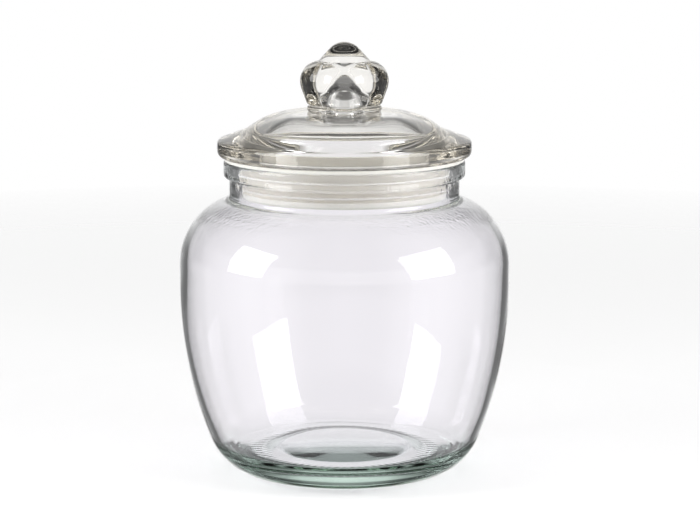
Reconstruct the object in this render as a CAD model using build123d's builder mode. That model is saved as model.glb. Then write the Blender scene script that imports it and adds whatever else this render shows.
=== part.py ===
from build123d import *

import os
from math import asin, atan2, cos, degrees, radians, sin, sqrt, tan

# A wide-mouthed storage jar of pressed glass, its glass lid with a four-lobed knob,
# and the finned polyethylene ring that the lid's skirt carries into the mouth.
# Millimetres. Z is the axis of the jar and its bearing ring stands on z = 0.

os.makedirs("parts", exist_ok=True)

# Jar body
belly_r = 75.0  # outside radius at the widest part
belly_start = 87.0  # height at which the side has turned vertical
belly_band = 8.1  # height of the vertical part
lower_arc_r = 194.2  # long arc from the heel up to the belly
heel_r = 24.9  # tight arc from the bearing ring into the side
body_wall = 3.0  # thickness of the blown side wall
base_t = 10.5  # thickness of the base at the edge of the inside floor
floor_rise = 4.2  # how much higher the middle of the inside floor is
floor_edge_r = 6.0  # hollow rounding between the floor's dome and the heel
inner_heel_r = 11.0  # arc from the inside floor into the side wall
ring_w = 3.4  # width of the bearing ring that the jar stands on
push_up_h = 2.6  # rise of the hollow under the base
push_up_lean = 2.0  # how far its side leans inwards over that rise
push_up_corner_r = 1.2  # rounding between its side and its level top
push_up_edge_r = 0.8  # rounding of the hollow's lower edge

# Neck and mouth
mouth_r = 48.0  # bore of the mouth
neck_wall = 4.1  # thickness of the pressed neck
neck_h = 17.1  # from the shoulder up to the top of the mouth
shoulder_tuck = 9.2  # how far inside the neck the shoulder's arc is centred
neck_foot_r = 1.6  # hollow rounding between shoulder and neck
throat_r = 3.0  # rounding where the bore opens into the body
bead_h = 7.6  # height of the bead around the mouth
bead_w = 2.6  # how far the bead stands out from the neck
bead_foot_r = 0.9  # hollow rounding under the bead
bead_lower_r = 1.6  # rounding of the bead's lower edge
lip_r = 1.5  # rounding of the mouth's two top edges

# Seal ring
seal_gap = 0.3  # between the fins and the bore of the mouth
seal_flange_t = 1.5  # flange between the mouth and the lid
seal_flange_inset = 0.4  # flange edge inside the edge of the bead
sleeve_h = 16.7  # from the flange's underside to the ring's lower end
sleeve_wall = 1.95  # wall of the sleeve
fin_count = 3
fin_w = 3.1  # how far a fin stands out from the sleeve
fin_pitch = 3.2  # from one fin to the next
fin_first = 5.4  # from the flange's underside down to the first fin
fin_root_t = 1.2  # thickness of a fin at the sleeve
fin_tip_t = 0.7  # thickness of a fin at its edge
fin_lift = 0.5  # how much higher the edge of a fin is than its root
band_h = 3.3  # height of the thick band at the ring's lower end
band_t = 1.6  # how far the band stands out from the sleeve
band_lead = 1.1  # bevel that leads the band into the mouth
toe_t = 1.2  # thickness of the lip that turns in under the skirt
toe_w = 3.0  # how far that lip reaches under the skirt

# Lid
skirt_gap = 0.05  # running clearance between skirt and sleeve
skirt_wall = 4.4  # thickness of the skirt
skirt_end_r = 1.4  # rounding of the skirt's lower edges
rim_over = 2.9  # how far the rim reaches out over the bead
rim_t = 7.4  # thickness of the lid at its rim
rim_lower_r = 4.0  # rounding of the rim's lower edge
rim_upper_r = 2.2  # rounding of the rim's upper edge
flange_rise = 4.7  # how much the flange climbs from the rim to the dome
dome_r = 44.6  # radius at which the dome leaves the flange
dome_rise = 8.1  # height of the dome over the flange
dome_flat_r = 23.0  # radius of the level top of the dome
dome_foot_r = 1.5  # hollow rounding at the foot of the dome
ceiling_t = 6.5  # thickness of the glass under the top of the dome
hollow_rise = 8.5  # height of the arched part of the lid's hollow
hollow_flat_r = 19.0  # radius of the level part of its ceiling
hollow_corner_r = 3.0  # rounding where the ceiling meets the skirt
core_h = 22.0  # height of the hollow core in the knob, over the lid's ceiling
core_tip_r = 4.6  # radius of its round end
core_foot_r = 6.5  # radius of the core where it opens into the ceiling
core_mouth_r = 3.0  # rounding of that opening

# Knob
collar_r = 16.9  # widest radius of the collar under the lobes
collar_h = 3.0  # height of the collar
collar_bulge = 0.9  # how far its side swells
lobe_count = 4
lobe_offset = 6.1  # from the knob's axis to the axis of each lobe
lobe_r = 13.9  # widest radius of a lobe about its own axis
lobe_upper_r = 9.0  # arc over the shoulder of a lobe
lobe_lower_r = 11.0  # arc under its widest part
lobe_taper = 20.5  # slope of its lower side from the vertical, in degrees
lobe_waist = 10.9  # height of the widest part over the collar
lobe_sink = 0.3  # how far the lobes are sunk into the collar
lobe_foot_r = 0.9  # rounding of a lobe's lower edge
cap_r = 11.6  # radius of the cap where it leaves the lobes
cap_slope = 48.0  # slope of its side from the level, in degrees
cap_tip_r = 9.0  # radius of its round tip
cap_sink = 1.0  # how far the cap is sunk between the lobes


def corner(sketch, x, y):
    """The corner of a section nearest to a point."""
    return sketch.vertices().sort_by_distance((x, y))[0]


# Sizes that follow: the outside of the body
neck_r = mouth_r + neck_wall
shoulder_r = belly_r - neck_r + shoulder_tuck
lower_axis = belly_r - lower_arc_r
heel_drop = belly_start - heel_r
heel_angle = degrees(asin(heel_drop / (lower_arc_r - heel_r)))
ring_r = lower_axis + (lower_arc_r - heel_r) * cos(radians(heel_angle))
belly_end = belly_start + belly_band
shoulder_turn = degrees(atan2(sqrt(shoulder_r**2 - shoulder_tuck**2), shoulder_tuck))
neck_z = belly_end + shoulder_r * sin(radians(shoulder_turn))
jar_top = neck_z + neck_h
bead_r = neck_r + bead_w

# The inside of the body
inner_lower_r = lower_arc_r - body_wall
inner_heel_drop = belly_start - base_t - inner_heel_r
inner_heel_angle = degrees(asin(inner_heel_drop / (inner_lower_r - inner_heel_r)))
inner_shoulder_r = shoulder_r - body_wall
throat_x = mouth_r - neck_r + shoulder_tuck
inner_shoulder_turn = degrees(atan2(sqrt(inner_shoulder_r**2 - throat_x**2), throat_x))
floor_r = lower_axis + (inner_lower_r - inner_heel_r) * cos(radians(inner_heel_angle))

# The hollow under the base
push_up_r = ring_r - ring_w
push_up_flat_r = push_up_r - push_up_lean

# The seal ring
seat_z = jar_top + seal_flange_t
fin_r = mouth_r - seal_gap
sleeve_r = fin_r - fin_w
sleeve_bore = sleeve_r - sleeve_wall
sleeve_end = jar_top - sleeve_h
skirt_end = sleeve_end + toe_t

# The lid and its knob
skirt_r = sleeve_bore - skirt_gap
rim_r = bead_r + rim_over
dome_z = seat_z + rim_t + flange_rise
dome_top = dome_z + dome_rise
ceiling_z = dome_top - ceiling_t
hollow_r = skirt_r - skirt_wall
core_top = ceiling_z + core_h
collar_top = dome_top + collar_h
lobe_bottom = collar_top - lobe_sink
waist_z = collar_top + lobe_waist
lobe_top = waist_z + lobe_upper_r
taper_start = waist_z - lobe_lower_r * sin(radians(lobe_taper))
taper_r = lobe_r - lobe_lower_r * (1 - cos(radians(lobe_taper)))
lobe_foot = taper_r - (taper_start - lobe_bottom) * tan(radians(lobe_taper))
tip_x = cap_tip_r * sin(radians(cap_slope))
tip_z = lobe_top + (cap_r - tip_x) * tan(radians(cap_slope))


# Jar body: the outside, less the cavity and the hollow under the base
with BuildPart() as jar_body:
    with BuildSketch(Plane.XZ) as outside:
        with BuildLine():
            foot = Line((0, 0), (ring_r, 0))
            heel = JernArc(foot @ 1, foot % 1, heel_r, 90 - heel_angle)
            side = JernArc(heel @ 1, heel % 1, lower_arc_r, heel_angle)
            belly = Line(side @ 1, (belly_r, belly_end))
            JernArc(belly @ 1, belly % 1, shoulder_r, shoulder_turn)
            Polyline(
                (neck_r, neck_z),
                (neck_r, jar_top - bead_h),
                (bead_r, jar_top - bead_h),
                (bead_r, jar_top),
                (0, jar_top),
                (0, 0),
            )
        make_face()
        fillet(corner(outside, neck_r, neck_z), neck_foot_r)
        fillet(corner(outside, neck_r, jar_top - bead_h), bead_foot_r)
        fillet(corner(outside, bead_r, jar_top - bead_h), bead_lower_r)
        fillet(corner(outside, bead_r, jar_top), lip_r)
    revolve(axis=Axis.Z)
    with BuildSketch(Plane.XZ) as cavity:
        with BuildLine():
            TangentArc((0, base_t + floor_rise), (floor_r, base_t), tangent=(1, 0))
            inner_heel = JernArc((floor_r, base_t), (1, 0), inner_heel_r, 90 - inner_heel_angle)
            inner_side = JernArc(inner_heel @ 1, inner_heel % 1, inner_lower_r, inner_heel_angle)
            inner_belly = Line(inner_side @ 1, (belly_r - body_wall, belly_end))
            throat = JernArc(inner_belly @ 1, inner_belly % 1, inner_shoulder_r, inner_shoulder_turn)
            Polyline(throat @ 1, (mouth_r, jar_top), (0, jar_top), (0, base_t + floor_rise))
        make_face()
        fillet(corner(cavity, floor_r, base_t), floor_edge_r)
        fillet(corner(cavity, (throat @ 1).X, (throat @ 1).Y), throat_r)
    revolve(axis=Axis.Z, mode=Mode.SUBTRACT)
    fillet(jar_body.edges().group_by(Axis.Z)[-1].sort_by(SortBy.RADIUS)[0], lip_r)
    with BuildSketch(Plane.XZ) as push_up:
        with BuildLine():
            Polyline((0, 0), (push_up_r, 0), (push_up_flat_r, push_up_h), (0, push_up_h), close=True)
        make_face()
        fillet(corner(push_up, push_up_flat_r, push_up_h), push_up_corner_r)
    revolve(axis=Axis.Z, mode=Mode.SUBTRACT)
    fillet(jar_body.edges().group_by(Axis.Z)[0].sort_by(SortBy.RADIUS)[0], push_up_edge_r)
jar_body.part.label = "jar_body"
export_step(jar_body.part, "parts/jar_body.step")


# Seal ring: sleeve with a flange over the mouth, fins in it and a toe under the skirt
with BuildPart() as lid_seal:
    with BuildSketch(Plane.XZ):
        with BuildLine():
            Polyline(
                (sleeve_bore, seat_z),
                (bead_r - seal_flange_inset, seat_z),
                (bead_r - seal_flange_inset, jar_top),
                (sleeve_r, jar_top),
                (sleeve_r, sleeve_end + band_h),
                (sleeve_r + band_t, sleeve_end + band_h),
                (sleeve_r + band_t, sleeve_end + band_lead),
                (sleeve_r + band_t - band_lead, sleeve_end),
                (sleeve_bore - toe_w, sleeve_end),
                (sleeve_bore - toe_w, skirt_end),
                (sleeve_bore, skirt_end),
                close=True,
            )
        make_face()
        for fin in range(fin_count):
            fin_z = jar_top - fin_first - fin * fin_pitch
            with BuildLine():
                Polyline(
                    (sleeve_r, fin_z + fin_root_t / 2),
                    (fin_r, fin_z + fin_lift + fin_tip_t / 2),
                    (fin_r, fin_z + fin_lift - fin_tip_t / 2),
                    (sleeve_r, fin_z - fin_root_t / 2),
                    close=True,
                )
            make_face()
    revolve(axis=Axis.Z)
lid_seal.part.label = "lid_seal"
export_step(lid_seal.part, "parts/lid_seal.step")


# One lobe of the knob, about its own axis
with BuildPart() as lobe:
    with BuildSketch(Plane.XZ) as lobe_section:
        with BuildLine():
            shoulder = JernArc((lobe_r, waist_z), (0, 1), lobe_upper_r, 90)
            Polyline(shoulder @ 1, (0, lobe_top), (0, lobe_bottom), (lobe_foot, lobe_bottom))
            taper = Line((lobe_foot, lobe_bottom), (taper_r, taper_start))
            JernArc(taper @ 1, taper % 1, lobe_lower_r, lobe_taper)
        make_face()
        fillet(corner(lobe_section, lobe_foot, lobe_bottom), lobe_foot_r)
    revolve(axis=Axis.Z)


# Lid: dome, rim, skirt and knob in one piece, less the hollow that runs up into the knob
with BuildPart() as lid:
    with BuildSketch(Plane.XZ) as dome:
        with BuildLine():
            TangentArc((dome_flat_r, dome_top), (dome_r, dome_z), tangent=(1, 0))
            Polyline(
                (dome_r, dome_z),
                (rim_r, seat_z + rim_t),
                (rim_r, seat_z),
                (skirt_r, seat_z),
                (skirt_r, skirt_end),
                (0, skirt_end),
                (0, dome_top),
                (dome_flat_r, dome_top),
            )
        make_face()
        fillet(corner(dome, dome_r, dome_z), dome_foot_r)
        fillet(corner(dome, rim_r, seat_z + rim_t), rim_upper_r)
        fillet(corner(dome, rim_r, seat_z), rim_lower_r)
    revolve(axis=Axis.Z)
    with BuildSketch(Plane.XZ):
        with BuildLine():
            collar_edge = collar_r - collar_bulge
            ThreePointArc(
                (collar_edge, dome_top),
                (collar_r, dome_top + collar_h / 2),
                (collar_edge, collar_top),
            )
            Polyline((collar_edge, collar_top), (0, collar_top), (0, dome_top), (collar_edge, dome_top))
        make_face()
    revolve(axis=Axis.Z)
    with PolarLocations(lobe_offset, lobe_count):
        add(lobe.part)
    with BuildSketch(Plane.XZ):
        with BuildLine():
            flank = Line((cap_r, lobe_top), (tip_x, tip_z))
            tip = JernArc(flank @ 1, flank % 1, cap_tip_r, cap_slope)
            Polyline(
                tip @ 1,
                (0, lobe_top - cap_sink),
                (cap_r, lobe_top - cap_sink),
                (cap_r, lobe_top),
            )
        make_face()
    revolve(axis=Axis.Z)
    with BuildSketch(Plane.XZ) as hollow:
        with BuildLine():
            core_tip = JernArc((core_tip_r, core_top - core_tip_r), (0, 1), core_tip_r, 90)
            TangentArc((hollow_flat_r, ceiling_z), (hollow_r, ceiling_z - hollow_rise), tangent=(1, 0))
            Polyline(
                (hollow_r, ceiling_z - hollow_rise),
                (hollow_r, skirt_end),
                (0, skirt_end),
                core_tip @ 1,
            )
            Polyline(core_tip @ 0, (core_foot_r, ceiling_z), (hollow_flat_r, ceiling_z))
        make_face()
        fillet(corner(hollow, core_foot_r, ceiling_z), core_mouth_r)
        fillet(corner(hollow, hollow_r, ceiling_z - hollow_rise), hollow_corner_r)
    revolve(axis=Axis.Z, mode=Mode.SUBTRACT)
    fillet(lid.edges().group_by(Axis.Z)[0], skirt_end_r)
lid.part.label = "lid"
export_step(lid.part, "parts/lid.step")
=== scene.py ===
import math

import bpy
import numpy as np
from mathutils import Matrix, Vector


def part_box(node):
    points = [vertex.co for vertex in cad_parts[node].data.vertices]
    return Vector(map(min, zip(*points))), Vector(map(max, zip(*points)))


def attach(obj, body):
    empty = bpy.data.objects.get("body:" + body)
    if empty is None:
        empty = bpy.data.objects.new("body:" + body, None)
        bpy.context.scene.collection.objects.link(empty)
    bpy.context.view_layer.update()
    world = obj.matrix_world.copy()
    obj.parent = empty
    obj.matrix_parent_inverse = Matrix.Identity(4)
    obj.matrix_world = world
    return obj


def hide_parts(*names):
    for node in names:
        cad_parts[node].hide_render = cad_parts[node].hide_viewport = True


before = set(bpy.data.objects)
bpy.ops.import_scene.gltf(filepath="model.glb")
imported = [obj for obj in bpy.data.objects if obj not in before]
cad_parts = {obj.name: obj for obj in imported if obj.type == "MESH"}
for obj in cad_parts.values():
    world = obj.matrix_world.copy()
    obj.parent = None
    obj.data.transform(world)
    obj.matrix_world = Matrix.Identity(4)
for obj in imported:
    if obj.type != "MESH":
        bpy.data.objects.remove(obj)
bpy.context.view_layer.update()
print("frame loaded:", ", ".join(sorted(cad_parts)))

mm = 0.001  # outlines are worked out in millimetres, meshes are in metres
degree = math.radians(1)


def boxInMm(node):
    low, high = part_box(node)
    return np.array(low) / mm, np.array(high) / mm


# outlines are runs of points (radius, height) in millimetres

def arcRun(centre, radius, start, end, step=0.25):
    # centre + radius (cos a, sin a), a from start to end in degrees, with points about step apart
    count = max(4, int(abs(end - start) * degree * radius / step))
    angle = np.radians(np.linspace(start, end, count))
    return np.column_stack((centre[0] + radius * np.cos(angle), centre[1] + radius * np.sin(angle)))


def straightRuns(*corners, step=0.25):
    # straight lines through the corners, each cut into equal steps
    runs = []
    for a, b in zip(corners[:-1], corners[1:]):
        count = max(3, int(math.dist(a, b) / step))
        share = np.linspace(0, 1, count)[:, None]
        runs.append(np.array(a) * (1 - share) + np.array(b) * share)
    return np.vstack(runs)


def domeArc(flatR, top, edgeR, edge):
    # the arc that is level at (flatR, top) and ends at (edgeR, edge): with w across and h down
    # its radius is (w^2 + h^2) / 2h
    width, drop = edgeR - flatR, top - edge
    arc = (width ** 2 + drop ** 2) / (2 * drop)
    return arcRun((flatR, top - arc), arc, 90, 90 - math.degrees(math.asin(width / arc)))


def lengthAlong(path):
    steps = np.hypot(*np.diff(path, axis=0).T)
    return np.concatenate(([0], np.cumsum(steps)))


def withoutRepeats(path, tiny=1e-6):
    # two runs that meet share a point, which is kept once
    return path[np.concatenate(([True], np.diff(lengthAlong(path)) > tiny))]


def softened(path, corners, rest=0.12, cornerReach=4, endHold=1.5):
    # each point becomes the mean of the path around it, weighted by a bell curve along its length:
    # the bell is as wide as the corner's own softness near a corner, and as wide as rest elsewhere;
    # the path keeps its own points towards its ends
    path = withoutRepeats(path)
    along = lengthAlong(path)
    width = np.full(len(path), rest)
    for x, z, softness in corners:
        at = along[np.argmin(np.hypot(path[:, 0] - x, path[:, 1] - z))]
        width = np.maximum(width, softness * np.exp(-(((along - at) / (cornerReach * softness)) ** 2)))
    weight = np.exp(-0.5 * ((along[:, None] - along[None, :]) / width[:, None]) ** 2)
    weight *= np.gradient(along)[None, :]
    smooth = weight @ path / weight.sum(1, keepdims=True)
    fromEnd = np.minimum(along, along[-1] - along)
    share = np.clip(fromEnd / endHold, 0, 1)[:, None]
    return path * (1 - share) + smooth * share


def resampled(path, count, bendWeight=5.0, sharpest=1.2, window=9):
    # count points along the path, closer together where it bends: their density is 1 plus
    # bendWeight times the root of the curvature per millimetre, which is averaged over a window
    path = withoutRepeats(path)
    along = lengthAlong(path)
    tangent = np.gradient(path, along, axis=0)
    turn = np.abs(np.gradient(np.unwrap(np.arctan2(tangent[:, 1], tangent[:, 0])), along))
    turn = np.convolve(np.clip(turn, 0, sharpest), np.ones(window) / window, "same")
    density = 1 + bendWeight * np.sqrt(turn)
    total = np.concatenate(([0], np.cumsum((density[1:] + density[:-1]) / 2 * np.diff(along))))
    wanted = np.interp(np.linspace(0, total[-1], count), total, along)
    return np.column_stack([np.interp(wanted, along, path[:, k]) for k in (0, 1)])


def aroundAxis(count):
    return np.linspace(0, 2 * np.pi, count, endpoint=False)


def gridFaces(rows, columns, loop):
    # quads between neighbouring rows; columns always close on themselves, rows only in a loop
    row, column = np.meshgrid(np.arange(rows if loop else rows - 1), np.arange(columns), indexing="ij")
    nextRow, nextColumn = (row + 1) % rows, (column + 1) % columns
    quads = (row * columns + column, row * columns + nextColumn,
             nextRow * columns + nextColumn, nextRow * columns + column)
    return np.stack(quads, -1).reshape(-1, 4)


def smoothMesh(name, points, quads, triangles):
    # a closed mesh in metres from points in millimetres; where the volume between the origin and
    # the quads comes out negative, every face is turned round, so that all point outwards
    corner = points[quads[:, :3]]
    volume = np.einsum("ij,ij->i", corner[:, 0], np.cross(corner[:, 1], corner[:, 2])).sum()
    order = -1 if volume < 0 else 1
    mesh = bpy.data.meshes.new(name)
    mesh.from_pydata((points * mm).tolist(), [],
                     quads[:, ::order].tolist() + triangles[:, ::order].tolist())
    mesh.validate()
    mesh.shade_smooth()
    piece = bpy.data.objects.new(name, mesh)
    bpy.context.scene.collection.objects.link(piece)
    return piece


def turnedPiece(name, radius, height, loop=False):
    # the surface (r cos a, r sin a, z), with r and z given for each row of the section and each
    # angle a; a section that isn't a loop has both ends on the axis, where its first and last rows
    # become one point each, with a fan of triangles
    rows, columns = radius.shape
    angle = aroundAxis(columns)[None, :]
    points = np.stack((radius * np.cos(angle), radius * np.sin(angle), height), -1)
    if loop:
        return smoothMesh(name, points.reshape(-1, 3), gridFaces(rows, columns, True), np.empty((0, 3), int))
    ring = np.arange(columns)
    nextOnRing = np.roll(ring, -1)
    lastRow = (rows - 3) * columns
    pole = np.full(columns, (rows - 2) * columns)
    fans = np.vstack((np.stack((pole, nextOnRing, ring), -1),
                      np.stack((pole + 1, lastRow + ring, lastRow + nextOnRing), -1)))
    poles = [(0, 0, height[0].mean()), (0, 0, height[-1].mean())]
    points = np.vstack((points[1:-1].reshape(-1, 3), poles))
    return smoothMesh(name, points, gridFaces(rows - 2, columns, False), fans)


def linear(hexColour, alpha=1.0):
    # an sRGB hex colour as the linear values that Blender's sockets take
    parts = [int(hexColour[i:i + 2], 16) / 255 for i in (1, 3, 5)]
    return tuple(c / 12.92 if c <= 0.04045 else ((c + 0.055) / 1.055) ** 2.4 for c in parts) + (alpha,)


def addNode(tree, kind, settings=None, links=None):
    # a node with its settings, by attribute or by socket, and its inputs linked by socket
    node = tree.nodes.new(kind)
    for key, value in (settings or {}).items():
        if isinstance(key, str) and hasattr(node, key):
            setattr(node, key, value)
        else:
            node.inputs[key].default_value = value
    for key, socket in (links or {}).items():
        tree.links.new(socket, node.inputs[key])
    return node


def newMaterial(name):
    material = bpy.data.materials.new(name)
    material.use_nodes = True
    material.node_tree.nodes.clear()
    return material, material.node_tree


def levelsAlong(tree, value, stops, unit):
    # a value turned to a level by straight lines between stops (place in units, level)
    low, high = stops[0][0], stops[-1][0]
    share = addNode(tree, "ShaderNodeMapRange", {1: low * unit, 2: high * unit, 3: 0.0, 4: 1.0}, {0: value})
    node = addNode(tree, "ShaderNodeValToRGB", {}, {0: share.outputs[0]})
    elements = node.color_ramp.elements
    while len(elements) < len(stops):
        elements.new(1.0)
    for element, (at, level) in zip(elements, stops):
        element.position = (at - low) / (high - low)
        element.color = (level, level, level, 1)
    return node.outputs[0]


def clearGlass(name, piece):
    # soda-lime glass, fire-polished after shaping: clear and bright, with a tint that only the
    # long way through an edge or the thick base brings out, and slow waves that bend reflections
    material, tree = newMaterial(name)
    place = addNode(tree, "ShaderNodeTexCoord")
    wave = addNode(tree, "ShaderNodeTexNoise", {"Scale": 1 / (piece["waveSize"] * mm), "Detail": 1.0},
                   {"Vector": place.outputs["Object"]})
    total = addNode(tree, "ShaderNodeMath", {"operation": "MULTIPLY", 1: piece["waveHeight"]},
                    {0: wave.outputs["Fac"]}).outputs[0]
    # the tools that shape the neck leave bands of mottled skin on it and just below it
    up = addNode(tree, "ShaderNodeSeparateXYZ", {}, {0: place.outputs["Object"]})
    for middle, reach, grain, depth in piece["mottles"]:
        band = levelsAlong(tree, up.outputs[2],
                           [(middle - reach, 0.0), (middle, depth), (middle + reach, 0.0)], mm)
        mottle = addNode(tree, "ShaderNodeTexNoise", {"Scale": 1 / (grain * mm), "Detail": 2.0},
                         {"Vector": place.outputs["Object"]})
        total = addNode(tree, "ShaderNodeMath", {"operation": "MULTIPLY_ADD"},
                        {0: mottle.outputs["Fac"], 1: band, 2: total}).outputs[0]
    bump = addNode(tree, "ShaderNodeBump", {"Strength": 1.0, "Distance": mm}, {"Height": total})
    glass = addNode(tree, "ShaderNodeBsdfPrincipled",
                    {"Base Color": linear(piece["skin"]), "Roughness": 0.0, "IOR": 1.5,
                     "Transmission Weight": 1.0},
                    {"Normal": bump.outputs["Normal"]})
    inside = addNode(tree, "ShaderNodeVolumeAbsorption",
                     {"Color": linear(piece["tint"]), "Density": piece["tintDensity"]})
    addNode(tree, "ShaderNodeOutputMaterial", {},
            {"Surface": glass.outputs[0], "Volume": inside.outputs[0]})
    return material


def mouldedPolyethylene(name, piece):
    # natural low-density polyethylene, injection moulded: milky and warm, it lets light through
    # without a clear view, with a soft satin sheen from the mould
    material, tree = newMaterial(name)
    place = addNode(tree, "ShaderNodeTexCoord")
    cloud = addNode(tree, "ShaderNodeTexNoise", {"Scale": 1 / (piece["cloudSize"] * mm), "Detail": 3.0},
                    {"Vector": place.outputs["Object"]})
    shade = addNode(tree, "ShaderNodeMix",
                    {"data_type": "RGBA", 6: linear(piece["darkShade"]), 7: linear(piece["lightShade"])},
                    {0: cloud.outputs["Fac"]})
    grain = addNode(tree, "ShaderNodeTexNoise", {"Scale": 1 / (piece["grainSize"] * mm), "Detail": 2.0},
                    {"Vector": place.outputs["Object"]})
    bump = addNode(tree, "ShaderNodeBump", {"Strength": 0.3, "Distance": piece["grainDepth"] * mm},
                   {"Height": grain.outputs["Fac"]})
    body = addNode(tree, "ShaderNodeBsdfPrincipled",
                   {"Roughness": 0.42, "IOR": 1.51, "Subsurface Weight": 1.0,
                    "Subsurface Radius": (1.0, 1.0, 0.97), "Subsurface Scale": piece["lightReach"] * mm},
                   {"Base Color": shade.outputs[2], "Normal": bump.outputs["Normal"]})
    addNode(tree, "ShaderNodeOutputMaterial", {}, {"Surface": body.outputs[0]})
    return material


jar = {
    "bellyStart": 87.0, "bellyBand": 8.1, "lowerArc": 194.2, "heelArc": 24.9,
    "wall": 3.0, "baseThickness": 10.5, "floorRise": 4.2, "innerHeelArc": 11.0,
    "ringWidth": 3.4, "pushUp": 2.6, "pushUpLean": 2.0,
    "bore": 48.0, "neckWall": 4.1, "shoulderTuck": 9.2,
    "beadHeight": 7.6, "beadWidth": 2.6,
    "softness": {"pushUp": 3.0, "hollow": 0.6, "ring": 0.5, "neckFoot": 1.0, "beadRoot": 0.7,
                 "beadEdge": 1.0, "mouth": 0.9, "throat": 1.6, "floor": 2.0},
    # knurling on the bearing ring, deepest at ribInset in from its edge and only below ribTop
    "ribs": 72, "ribDepth": 0.3, "ribInset": 0.4, "ribSpread": 2.4, "ribTop": 2.0,
    # marks of the mould round the heel
    "heelLines": (2.6, 5.2), "heelLineDepth": 0.25, "heelLineWidth": 0.5,
    # the blown inside sways: depth, swells around, start, and mm up for one radian
    "swayWaves": ((0.10, 2, 0.7, 31.0), (0.06, 5, 0.0, 13.0)),
    "swayBands": (0.05, 7.5, 1.3),  # depth, mm up for one radian, how far the bands tilt around
    "swayBottom": 8.0, "swayTop": 12.0, "swayFade": 12.0,  # from the base, from the throat, to full depth
    "skin": "#FEFCFF", "tint": "#BFE6D2", "tintDensity": 7.5, "waveSize": 35, "waveHeight": 0.10,
    "mottles": ((119.0, 3.5, 1.5, 0.2), (134.5, 8.0, 4.0, 0.3)),  # height, reach, grain and depth
    "sectionPoints": 226, "segments": 432,
}


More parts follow.
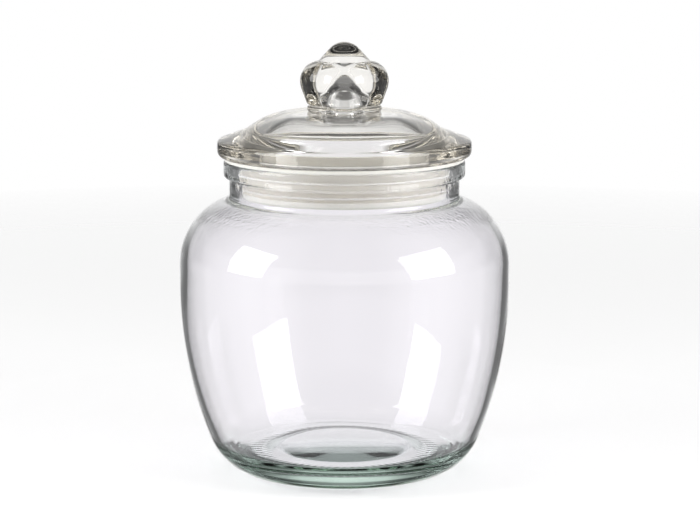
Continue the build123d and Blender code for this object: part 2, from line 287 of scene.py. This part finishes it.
def makeJar():
    low, high = boxInMm("jar_body")
    bellyR, top = high[0], high[2]
    neckR = jar["bore"] + jar["neckWall"]
    beadR = neckR + jar["beadWidth"]
    beadFoot = top - jar["beadHeight"]
    axis = bellyR - jar["lowerArc"]
    start, end = jar["bellyStart"], jar["bellyStart"] + jar["bellyBand"]
    heel, inHeel = jar["heelArc"], jar["innerHeelArc"]
    heelTurn = math.degrees(math.asin((start - heel) / (jar["lowerArc"] - heel)))
    ringR = axis + (jar["lowerArc"] - heel) * math.cos(math.radians(heelTurn))
    hollowR = ringR - jar["ringWidth"]
    inArc = jar["lowerArc"] - jar["wall"]
    inTurn = math.degrees(math.asin((start - jar["baseThickness"] - inHeel) / (inArc - inHeel)))
    floorR = axis + (inArc - inHeel) * math.cos(math.radians(inTurn))
    shoulderX = neckR - jar["shoulderTuck"]
    shoulderArc = bellyR - shoulderX
    shoulderTurn = math.degrees(math.acos(jar["shoulderTuck"] / shoulderArc))
    shoulderTop = end + shoulderArc * math.sin(math.radians(shoulderTurn))
    inShoulder = shoulderArc - jar["wall"]
    throatTurn = math.degrees(math.acos((jar["bore"] - shoulderX) / inShoulder))
    throatTop = end + inShoulder * math.sin(math.radians(throatTurn))

    outside = np.vstack((
        straightRuns((0, jar["pushUp"]), (hollowR - jar["pushUpLean"], jar["pushUp"]),
                     (hollowR, 0), (ringR, 0)),
        arcRun((ringR, heel), heel, -90, -heelTurn),
        arcRun((axis, start), jar["lowerArc"], -heelTurn, 0),
        straightRuns((bellyR, start), (bellyR, end)),
        arcRun((shoulderX, end), shoulderArc, 0, shoulderTurn),
        straightRuns((neckR, shoulderTop), (neckR, beadFoot), (beadR, beadFoot), (beadR, top),
                     (jar["bore"], top), (jar["bore"], throatTop)),
    ))
    inside = np.vstack((
        arcRun((shoulderX, end), inShoulder, throatTurn, 0),
        straightRuns((bellyR - jar["wall"], end), (bellyR - jar["wall"], start)),
        arcRun((axis, start), inArc, 0, -inTurn),
        arcRun((floorR, jar["baseThickness"] + inHeel), inHeel, -inTurn, -90),
        domeArc(0, jar["baseThickness"] + jar["floorRise"], floorR, jar["baseThickness"])[::-1],
    ))
    soft = jar["softness"]
    corners = [(hollowR - jar["pushUpLean"], jar["pushUp"], soft["pushUp"]), (hollowR, 0, soft["hollow"]),
               (ringR, 0, soft["ring"]), (neckR, shoulderTop, soft["neckFoot"]),
               (neckR, beadFoot, soft["beadRoot"]), (beadR, beadFoot, soft["beadEdge"]),
               (beadR, top, soft["mouth"]), (jar["bore"], top, soft["mouth"]),
               (jar["bore"], throatTop, soft["throat"]), (floorR, jar["baseThickness"], soft["floor"])]
    section = resampled(softened(np.vstack((outside, inside)), corners), jar["sectionPoints"])
    radius, height = (np.repeat(section[:, k:k + 1], jar["segments"], 1) for k in (0, 1))
    angle = aroundAxis(jar["segments"])[None, :]
    fromThroat = np.arange(len(section)) >= np.argmin(
        np.abs(section[:, 0] - jar["bore"]) + np.abs(section[:, 1] - throatTop))
    isInside = np.repeat(fromThroat[:, None], jar["segments"], 1)

    # knurling: hollows between the ribs, depth (1 - cos(ribs a)) / 2 under a bell across the ring
    ribBell = np.exp(-(((radius - ringR + jar["ribInset"]) / jar["ribSpread"]) ** 2))
    hollows = (1 - np.cos(jar["ribs"] * angle)) / 2
    height = height + jar["ribDepth"] * ribBell * (height < jar["ribTop"]) * hollows

    # the inside swells and thins by sin(n a + start + z / length) and by bands that tilt around
    bottom, neck = jar["baseThickness"] + jar["swayBottom"], throatTop - jar["swayTop"]
    onWall = isInside & (radius < bellyR - 0.5 * jar["wall"]) & (height > bottom) & (height < neck)
    fade = (np.clip((height - bottom) / jar["swayFade"], 0, 1)
            * np.clip((neck - height) / jar["swayFade"], 0, 1))
    sway = sum(depth * np.sin(swells * angle + begin + height / length)
               for depth, swells, begin, length in jar["swayWaves"])
    bandDepth, bandLength, bandTilt = jar["swayBands"]
    sway = sway + bandDepth * np.sin(height / bandLength + bandTilt * np.sin(angle))
    radius = radius + np.where(onWall, sway * fade, 0)

    # low rounded lines round the outside of the heel: a bell across the height of each
    onHeel = ~isInside & (radius > hollowR + jar["ringWidth"] / 2)
    for line in jar["heelLines"]:
        bell = np.exp(-(((height - line) / jar["heelLineWidth"]) ** 2))
        radius = radius + jar["heelLineDepth"] * onHeel * bell
    return turnedPiece("jar_glass", radius, height)


jarPiece = makeJar()
jarPiece.data.materials.append(clearGlass("soda_lime_glass_blown", jar))
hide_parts("jar_body")
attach(jarPiece, "jar")
print("jar made:", len(jarPiece.data.polygons), "faces")


lid = {
    "skirtR": 42.6, "skirtWall": 4.4,
    "rimThickness": 7.4, "flangeRise": 4.7, "domeR": 44.6, "domeRise": 8.1, "domeFlatR": 23.0,
    "ceiling": 6.5, "hollowRise": 8.5, "hollowFlatR": 19.0,
    "softness": {"hollow": 1.6, "skirtEnd": 0.8, "seat": 0.25, "rimUnder": 2.2, "rimTop": 1.2,
                 "domeFoot": 0.9, "collarFoot": 0.35},
    "skin": "#FFFFFF", "tint": "#EADFC4", "tintDensity": 5.0, "waveSize": 22, "waveHeight": 0.05,
    "mottles": (),
    "sectionPoints": 166, "segments": 384,
}
knob = {
    "collarR": 16.9, "collarHeight": 3.0, "collarBulge": 0.9,
    "lobes": 4, "lobeOffset": 6.5, "lobeR": 13.5, "upperArc": 9.0, "lowerArc": 11.0,
    "taper": 20.5, "waist": 10.9, "footRun": 3.0, "footLift": 0.02,
    "capR": 11.6, "capSlope": 48.0, "tipR": 9.0, "capStart": 5.0,  # the cap starts this far over the waist
    "coreTop": 178.6, "coreTipR": 5.0, "coreFootR": 6.8,  # the hollow that the plunger leaves inside
    "softness": {"core": 1.3, "lobeFoot": 0.9, "capTip": 0.8},
    "valleySharpness": 4.0, "capSharpness": 5.0,  # per millimetre; a higher value cuts a sharper valley
    "lobeRows": 64, "lobeBendWeight": 9.0, "capRows": 26, "ledgeRows": 4, "step": 0.1,
}


def lidSection(rimR, skirtEnd, seat, domeTop):
    # from the tip of the knob's core, down the hollow and the skirt, round the rim, over the dome
    # and up the bulge of the collar
    rimTop = seat + lid["rimThickness"]
    domeFoot = rimTop + lid["flangeRise"]
    ceiling = domeTop - lid["ceiling"]
    hollowR = lid["skirtR"] - lid["skirtWall"]
    hollowEdge = ceiling - lid["hollowRise"]
    coreShoulder = knob["coreTop"] - knob["coreTipR"]
    collarEdge = knob["collarR"] - knob["collarBulge"]
    halfCollar = knob["collarHeight"] / 2
    bulgeArc = (halfCollar ** 2 + knob["collarBulge"] ** 2) / (2 * knob["collarBulge"])
    bulgeTurn = math.degrees(math.asin(halfCollar / bulgeArc))
    section = np.vstack((
        arcRun((0, coreShoulder), knob["coreTipR"], 90, 0),
        straightRuns((knob["coreTipR"], coreShoulder), (knob["coreFootR"], ceiling),
                     (lid["hollowFlatR"], ceiling)),
        domeArc(lid["hollowFlatR"], ceiling, hollowR, hollowEdge),
        straightRuns((hollowR, hollowEdge), (hollowR, skirtEnd), (lid["skirtR"], skirtEnd),
                     (lid["skirtR"], seat), (rimR, seat), (rimR, rimTop), (lid["domeR"], domeFoot)),
        domeArc(lid["domeFlatR"], domeTop, lid["domeR"], domeFoot)[::-1],
        straightRuns((lid["domeFlatR"], domeTop), (collarEdge, domeTop)),
        arcRun((knob["collarR"] - bulgeArc, domeTop + halfCollar), bulgeArc, -bulgeTurn, bulgeTurn,
               knob["step"]),
    ))
    soft = lid["softness"]
    corners = [(knob["coreFootR"], ceiling, knob["softness"]["core"]),
               (hollowR, hollowEdge, soft["hollow"]),
               (hollowR, skirtEnd, soft["skirtEnd"]), (lid["skirtR"], skirtEnd, soft["skirtEnd"]),
               (lid["skirtR"], seat, soft["seat"]), (rimR, seat, soft["rimUnder"]),
               (rimR, rimTop, soft["rimTop"]), (lid["domeR"], domeFoot, soft["domeFoot"]),
               (collarEdge, domeTop, soft["collarFoot"])]
    return resampled(softened(section, corners), lid["sectionPoints"])


def lobeSection(collarTop, waist):
    # one lobe's own outline: a level foot with a round edge, a straight taper, the waist and the
    # shoulder, without the part of the foot that lies on the collar
    taperR = knob["lobeR"] - knob["lowerArc"] * (1 - math.cos(knob["taper"] * degree))
    taperZ = waist - knob["lowerArc"] * math.sin(knob["taper"] * degree)
    footR = taperR - (taperZ - collarTop) * math.tan(knob["taper"] * degree)
    lobe = np.vstack((
        straightRuns((footR - knob["footRun"], collarTop), (footR, collarTop), (taperR, taperZ),
                     step=knob["step"]),
        arcRun((knob["lobeR"] - knob["lowerArc"], waist), knob["lowerArc"], -knob["taper"], 0, knob["step"]),
        arcRun((knob["lobeR"] - knob["upperArc"], waist), knob["upperArc"], 0, 90, knob["step"]),
    ))
    lobe = softened(lobe, [(footR, collarTop, knob["softness"]["lobeFoot"])])
    lobe = lobe[np.argmax(lobe[:, 1] > collarTop + knob["footLift"]):]
    return resampled(lobe, knob["lobeRows"], knob["lobeBendWeight"])


def capSection(top):
    # the cone from the lobes up to the round tip that touches it
    slope = knob["capSlope"] * degree
    tipX = knob["tipR"] * math.sin(slope)
    tipZ = top + (knob["capR"] - tipX) * math.tan(slope)
    cap = np.vstack((
        straightRuns((knob["capR"], top), (tipX, tipZ), step=knob["step"]),
        arcRun((0, tipZ - knob["tipR"] * math.cos(slope)), knob["tipR"], 90 - knob["capSlope"], 90,
               knob["step"]),
    ))
    return resampled(softened(cap, [(tipX, tipZ, knob["softness"]["capTip"])]), knob["capRows"])[1:]


def softMaximum(values, sharpness):
    # log(sum(exp(k v))) / k: the largest of the values, rounded where two are nearly equal
    return np.log(sum(np.exp(sharpness * value) for value in values)) / sharpness


def makeLid():
    low, high = boxInMm("lid")
    seat = boxInMm("lid_seal")[1][2]
    domeTop = seat + lid["rimThickness"] + lid["flangeRise"] + lid["domeRise"]
    collarTop = domeTop + knob["collarHeight"]
    waist = collarTop + knob["waist"]
    section = lidSection(high[0], low[2], seat, domeTop)
    lobe = lobeSection(collarTop, waist)
    cap = capSection(waist + knob["upperArc"])

    # the knob's radius at each height is the furthest of the lobes along the ray at angle a: a lobe
    # reaches d cos b + root(r^2 - d^2 sin^2 b), with b measured from its own direction
    angle = aroundAxis(lid["segments"])[None, :]
    reach = []
    for k in range(knob["lobes"]):
        fromLobe = angle + np.pi / 2 + 2 * np.pi * k / knob["lobes"]
        across = lobe[:, :1] ** 2 - (knob["lobeOffset"] * np.sin(fromLobe)) ** 2
        reach.append(knob["lobeOffset"] * np.cos(fromLobe) + np.sqrt(np.maximum(across, 0)))
    capFoot = np.where(lobe[:, 1:] > waist + knob["capStart"], knob["capR"], 0)
    lobeR = softMaximum((softMaximum(reach, knob["valleySharpness"]), capFoot), knob["capSharpness"])

    # the ledge runs straight from the collar's edge in to the foot of the lobes
    spread = np.ones((1, lid["segments"]))
    lobeZ = lobe[:, 1:] * spread
    share = np.linspace(0, 1, knob["ledgeRows"] + 2)[1:-1, None]
    ledgeR = section[-1, 0] * (1 - share) + lobeR[:1] * share
    ledgeZ = section[-1, 1] * (1 - share) + lobeZ[:1] * share
    radius = np.vstack((section[:, :1] * spread, ledgeR, lobeR, cap[:, :1] * spread))
    height = np.vstack((section[:, 1:] * spread, ledgeZ, lobeZ, cap[:, 1:] * spread))
    return turnedPiece("lid_glass", radius, height)


lidPiece = makeLid()
lidPiece.data.materials.append(clearGlass("soda_lime_glass_pressed", lid))
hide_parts("lid")
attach(lidPiece, "lid")
print("lid made:", len(lidPiece.data.polygons), "faces")


seal = {
    "airGap": 0.04,  # the film of air between dry glass and plastic
    "flange": 1.5, "sleeveBore": 42.65, "sleeveWall": 1.95,
    "fins": 3, "finR": 47.7, "finPitch": 3.2, "finFirst": 5.4, "finRoot": 1.2, "finTip": 0.7, "finLift": 0.5,
    "bandHeight": 3.3, "bandWidth": 1.6, "bandLead": 1.1, "toe": 1.2, "toeWidth": 3.0,
    "cornerSoftness": 0.16, "restSoftness": 0.08, "step": 0.12,
    "darkShade": "#DFDDD7", "lightShade": "#E9E7E1", "cloudSize": 9, "lightReach": 3,
    "grainSize": 0.6, "grainDepth": 0.05,  # the mould's fine grain, drawn coarse enough to show
    "sectionPoints": 210, "segments": 256,
}


def makeSeal():
    low, high = boxInMm("lid_seal")
    seat, end, flangeR = high[2] - seal["airGap"], low[2], high[0]
    under = high[2] - seal["flange"] + seal["airGap"]
    bore, sleeveR = seal["sleeveBore"], seal["sleeveBore"] + seal["sleeveWall"]
    bandR = sleeveR + seal["bandWidth"]
    outline = [(bore, seat), (flangeR, seat), (flangeR, under), (sleeveR, under)]
    for fin in range(seal["fins"]):
        z = under - seal["finFirst"] - fin * seal["finPitch"]
        outline += [(sleeveR, z + seal["finRoot"] / 2),
                    (seal["finR"], z + seal["finLift"] + seal["finTip"] / 2),
                    (seal["finR"], z + seal["finLift"] - seal["finTip"] / 2),
                    (sleeveR, z - seal["finRoot"] / 2)]
    outline += [(sleeveR, end + seal["bandHeight"]), (bandR, end + seal["bandHeight"]),
                (bandR, end + seal["bandLead"]), (bandR - seal["bandLead"], end),
                (bore - seal["toeWidth"], end), (bore - seal["toeWidth"], end + seal["toe"]),
                (bore, end + seal["toe"]), (bore, seat)]
    corners = [(x, z, seal["cornerSoftness"]) for x, z in outline]
    seam = (bore, (seat + end) / 2)  # the loop starts and ends halfway up the plain bore
    path = straightRuns(seam, *outline, seam, step=seal["step"])
    section = resampled(softened(path, corners, seal["restSoftness"]), seal["sectionPoints"])[:-1]
    spread = np.ones((1, seal["segments"]))
    return turnedPiece("seal_ring", section[:, :1] * spread, section[:, 1:] * spread, loop=True)


sealPiece = makeSeal()
sealPiece.data.materials.append(mouldedPolyethylene("polyethylene_moulded", seal))
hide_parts("lid_seal")
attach(sealPiece, "seal")
print("seal made:", len(sealPiece.data.polygons), "faces")


studio = {
    "floorR": 1.6, "floorSides": 96, "floorPaint": "#EAEAEA", "fadeStart": 0.25, "fadeEnd": 0.96,
    # azimuth from the front, elevation, width, height, power; all face a point on the jar's axis
    "softboxes": {"left": (-71, 22, 0.52, 0.60, 5.0), "right": (63, 22, 0.62, 0.62, 5.0)},
    "softboxDistance": 1.0, "aimHeight": 0.09,
    "lens": 131.8, "sensor": 36, "cameraPlace": (0.00252, -1.150, 0.290), "cameraTilt": 9.597,
    # light bounces many times inside thick rims
    "bounces": {"max_bounces": 24, "diffuse_bounces": 8, "glossy_bounces": 16, "transmission_bounces": 16},
    "scatteredLight": 0.9,  # what the room gives the floor and the plastic
}
room = {
    # brightness by direction seen from the jar, for what the glass mirrors: by degrees around from
    # straight behind it, once for what is below eye level and once for what is above
    "below": [(0, 1.0), (14, 0.9), (18, 0.3), (28, 0.15), (44, 0.2), (52, 0.6), (75, 0.6), (110, 0.9),
              (140, 0.4), (152, 0.1), (160, 0.0), (180, 0.0)],
    "above": [(0, 1.0), (14, 0.9), (20, 0.6), (28, 0.45), (44, 0.35), (52, 0.15), (66, 0.15), (80, 0.5),
              (110, 0.9), (140, 0.8), (150, 0.6), (180, 0.7)],
    "horizon": [(-90, 0.0), (-2, 0.0), (3, 1.0), (90, 1.0)],
    # by degrees up from the level: darker over the lamps and under the edge of the table
    "upward": [(-90, 0.1), (-42, 0.15), (-33, 0.9), (-10, 1.0), (19, 1.0), (24, 0.4), (45, 0.3), (90, 0.2)],
    # what shows straight through the glass: the backdrop up to its upper edge, then the ceiling, and
    # beyond the sides of the backdrop a share of the same room as above
    "through": [(-90, 1.0), (9, 1.0), (11, 0.15), (19, 0.15), (22, 0.7), (36, 0.7), (42, 0.1), (90, 0.1)],
    "aside": [(0, 0.0), (32, 0.0), (45, 0.45), (180, 0.45)],
    "deep": (2, 7, 0.2),  # light that was mirrored more than 2 times fades to this share at 7 times
}


def makeFloor():
    # a round white table, which fades out before its edge
    angle = aroundAxis(studio["floorSides"])
    points = np.column_stack((np.cos(angle), np.sin(angle), 0 * angle)) * studio["floorR"]
    mesh = bpy.data.meshes.new("floor")
    mesh.from_pydata(points.tolist(), [], [list(range(studio["floorSides"]))])
    floor = bpy.data.objects.new("floor", mesh)
    bpy.context.scene.collection.objects.link(floor)
    material, tree = newMaterial("white_table")
    paint = addNode(tree, "ShaderNodeBsdfDiffuse", {"Color": linear(studio["floorPaint"])})
    clear = addNode(tree, "ShaderNodeBsdfTransparent")
    place = addNode(tree, "ShaderNodeTexCoord")
    far = addNode(tree, "ShaderNodeVectorMath", {"operation": "LENGTH"}, {0: place.outputs["Object"]})
    fade = addNode(tree, "ShaderNodeMapRange",
                   {1: studio["fadeStart"], 2: studio["fadeEnd"], 3: 0.0, 4: 1.0}, {0: far.outputs["Value"]})
    mixed = addNode(tree, "ShaderNodeMixShader", {},
                    {0: fade.outputs[0], 1: paint.outputs[0], 2: clear.outputs[0]})
    addNode(tree, "ShaderNodeOutputMaterial", {}, {"Surface": mixed.outputs[0]})
    mesh.materials.append(material)
    # the glass shows the room's own brightness in place of the table
    floor.visible_glossy = False
    floor.visible_transmission = False


def addSoftbox(name, azimuth, elevation, width, height, power):
    # at aim + distance (sin a cos e, -cos a cos e, sin e), facing the aim
    light = bpy.data.lights.new(name, "AREA")
    light.shape = "RECTANGLE"
    light.size, light.size_y, light.energy = width, height, power
    lamp = bpy.data.objects.new(name, light)
    a, e = math.radians(azimuth), math.radians(elevation)
    aim = np.array((0, 0, studio["aimHeight"]))
    outwards = np.array((math.sin(a) * math.cos(e), -math.cos(a) * math.cos(e), math.sin(e)))
    lamp.location = aim + outwards * studio["softboxDistance"]
    lamp.rotation_euler = (math.pi / 2 - e, 0, a)
    lamp.visible_camera = False
    bpy.context.scene.collection.objects.link(lamp)


def makeWorld():
    world = bpy.data.worlds.new("studio")
    world.use_nodes = True
    tree = world.node_tree
    tree.nodes.clear()
    path = addNode(tree, "ShaderNodeLightPath")
    place = addNode(tree, "ShaderNodeTexCoord")
    facing = addNode(tree, "ShaderNodeSeparateXYZ", {}, {0: place.outputs["Generated"]})
    turn = addNode(tree, "ShaderNodeMath", {"operation": "ARCTAN2"},
                   {0: facing.outputs[0], 1: facing.outputs[1]})
    side = addNode(tree, "ShaderNodeMath", {"operation": "ABSOLUTE"}, {0: turn.outputs[0]})
    rise = addNode(tree, "ShaderNodeMath", {"operation": "ARCSINE"}, {0: facing.outputs[2]})
    below = levelsAlong(tree, side.outputs[0], room["below"], degree)
    above = levelsAlong(tree, side.outputs[0], room["above"], degree)
    horizon = levelsAlong(tree, rise.outputs[0], room["horizon"], degree)
    upward = levelsAlong(tree, rise.outputs[0], room["upward"], degree)
    through = levelsAlong(tree, rise.outputs[0], room["through"], degree)
    aside = levelsAlong(tree, side.outputs[0], room["aside"], degree)

    # mirrored light: the room at that direction, fading as it goes deep into many reflections
    around = addNode(tree, "ShaderNodeMix", {"data_type": "FLOAT"}, {0: horizon, 2: below, 3: above})
    lit = addNode(tree, "ShaderNodeMath", {"operation": "MULTIPLY"}, {0: around.outputs[0], 1: upward})
    few, many, left = room["deep"]
    deep = addNode(tree, "ShaderNodeMapRange", {1: few, 2: many, 3: 1.0, 4: left},
                   {0: path.outputs["Glossy Depth"]})
    seen = addNode(tree, "ShaderNodeMath", {"operation": "MULTIPLY"}, {0: lit.outputs[0], 1: deep.outputs[0]})

    # light that was never mirrored shows the backdrop, and some of the room beyond its sides
    mirrored = addNode(tree, "ShaderNodeMath", {"operation": "GREATER_THAN", 1: 0.5},
                       {0: path.outputs["Glossy Depth"]})
    inRoom = addNode(tree, "ShaderNodeMath", {"operation": "MAXIMUM"}, {0: mirrored.outputs[0], 1: aside})
    level = addNode(tree, "ShaderNodeMix", {"data_type": "FLOAT"},
                    {0: inRoom.outputs[0], 2: through, 3: seen.outputs[0]})
    scattered = addNode(tree, "ShaderNodeMath", {"operation": "GREATER_THAN", 1: 0.5},
                        {0: path.outputs["Diffuse Depth"]})
    final = addNode(tree, "ShaderNodeMix", {"data_type": "FLOAT", 3: studio["scatteredLight"]},
                    {0: scattered.outputs[0], 2: level.outputs[0]})
    backdrop = addNode(tree, "ShaderNodeMix", {"data_type": "FLOAT", 3: 1.0},
                       {0: path.outputs["Is Camera Ray"], 2: final.outputs[0]})
    sky = addNode(tree, "ShaderNodeBackground", {"Color": linear("#FFFFFF")},
                  {"Strength": backdrop.outputs[0]})
    addNode(tree, "ShaderNodeOutputWorld", {}, {"Surface": sky.outputs[0]})
    bpy.context.scene.world = world


def makeCamera():
    data = bpy.data.cameras.new("camera")
    data.lens, data.sensor_width = studio["lens"], studio["sensor"]
    data.clip_start, data.clip_end = 0.05, 20
    camera = bpy.data.objects.new("camera", data)
    camera.location = studio["cameraPlace"]
    camera.rotation_euler = (math.radians(90 - studio["cameraTilt"]), 0, 0)
    bpy.context.scene.collection.objects.link(camera)
    bpy.context.scene.camera = camera


makeFloor()
for side, box in studio["softboxes"].items():
    addSoftbox("softbox_" + side, *box)
makeWorld()
makeCamera()
bpy.context.scene.view_settings.view_transform = "Standard"
for kind, limit in studio["bounces"].items():
    setattr(bpy.context.scene.cycles, kind, limit)
# blurring would dim the seal and the floor, whose light has to pass the clear glass in full
bpy.context.scene.cycles.blur_glossy = 0.0
print("studio made")
